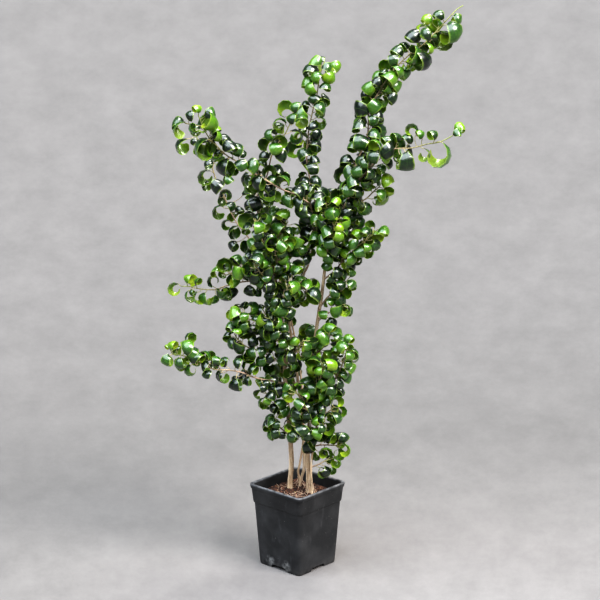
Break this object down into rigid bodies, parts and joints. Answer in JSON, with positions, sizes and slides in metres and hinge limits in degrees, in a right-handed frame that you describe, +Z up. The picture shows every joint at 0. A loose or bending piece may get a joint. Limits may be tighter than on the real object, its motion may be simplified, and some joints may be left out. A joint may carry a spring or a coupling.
{
  "type": "potted weeping fig",
  "caption": "Weeping fig with small curled glossy leaves on slender upright stems, standing in a square black nursery pot filled with soil.",
  "frame": {"origin": "centre of the pot's base, on the surface it stands on", "axes": "+Z up along the plant, +X to the plant's right as the picture shows it, +Y to its back; a corner of the square pot faces -Y"},
  "size_m": [0.3831, 0.1694, 0.75],
  "materials": {
    "pot_plastic": "satin black moulded plastic, scuffed and limescaled at the foot",
    "soil": "loose brown peat with pale wood chips and root threads",
    "bark": "smooth tan bark, pinkish on the young twigs",
    "leaf": "glossy dark green above, duller and paler below, yellow-green when young"
  },
  "bodies": {
    "root": {"pot": "pot_plastic", "soil": "soil", "stem_left": "bark", "stem_right": "bark", "stem_middle": "bark", "stem_thin": "bark", "stem_back": "bark", "spray_low_right": "leaf", "spray_low_right_small": "leaf", "spray_low_left": "leaf", "spray_low_left_upper": "leaf", "arm_left_low": "leaf", "spray_left_rings": "leaf", "spray_left_mid": "leaf", "arm_left_middle": "leaf", "spray_left_ring": "leaf", "arm_left_top": "leaf", "arm_left_upper": "leaf", "shoot_left_top": "leaf", "shoot_middle_top": "leaf", "shoot_right_top": "leaf", "arm_right": "leaf", "spray_right_stub": "leaf", "spray_right_end": "leaf", "spray_right_mid": "leaf", "spray_right_low_ring": "leaf", "shoot_thin": "leaf", "spray_thin_side": "leaf", "spray_foot_front": "leaf", "spray_foot_right": "leaf", "spray_front_low": "leaf", "spray_front_low_right": "leaf", "spray_front_mid": "leaf", "spray_front_left": "leaf", "spray_right_side": "leaf", "spray_front_crown": "leaf", "spray_crown_left_front": "leaf", "spray_crown_front": "leaf", "spray_crown_high": "leaf", "spray_crown_inner": "leaf", "spray_middle_leaf": "leaf", "spray_middle_upper": "leaf", "spray_right_front": "leaf", "spray_right_front_high": "leaf", "spray_right_crown": "leaf", "spray_back_right": "leaf", "spray_back_upper": "leaf", "spray_back_low": "leaf", "spray_back_low_left": "leaf", "spray_back_mid": "leaf", "spray_back_mid_left": "leaf", "spray_back_crown": "leaf", "spray_back_crown_left": "leaf", "shoot_back_top": "leaf"}
  },
  "joints": []
}
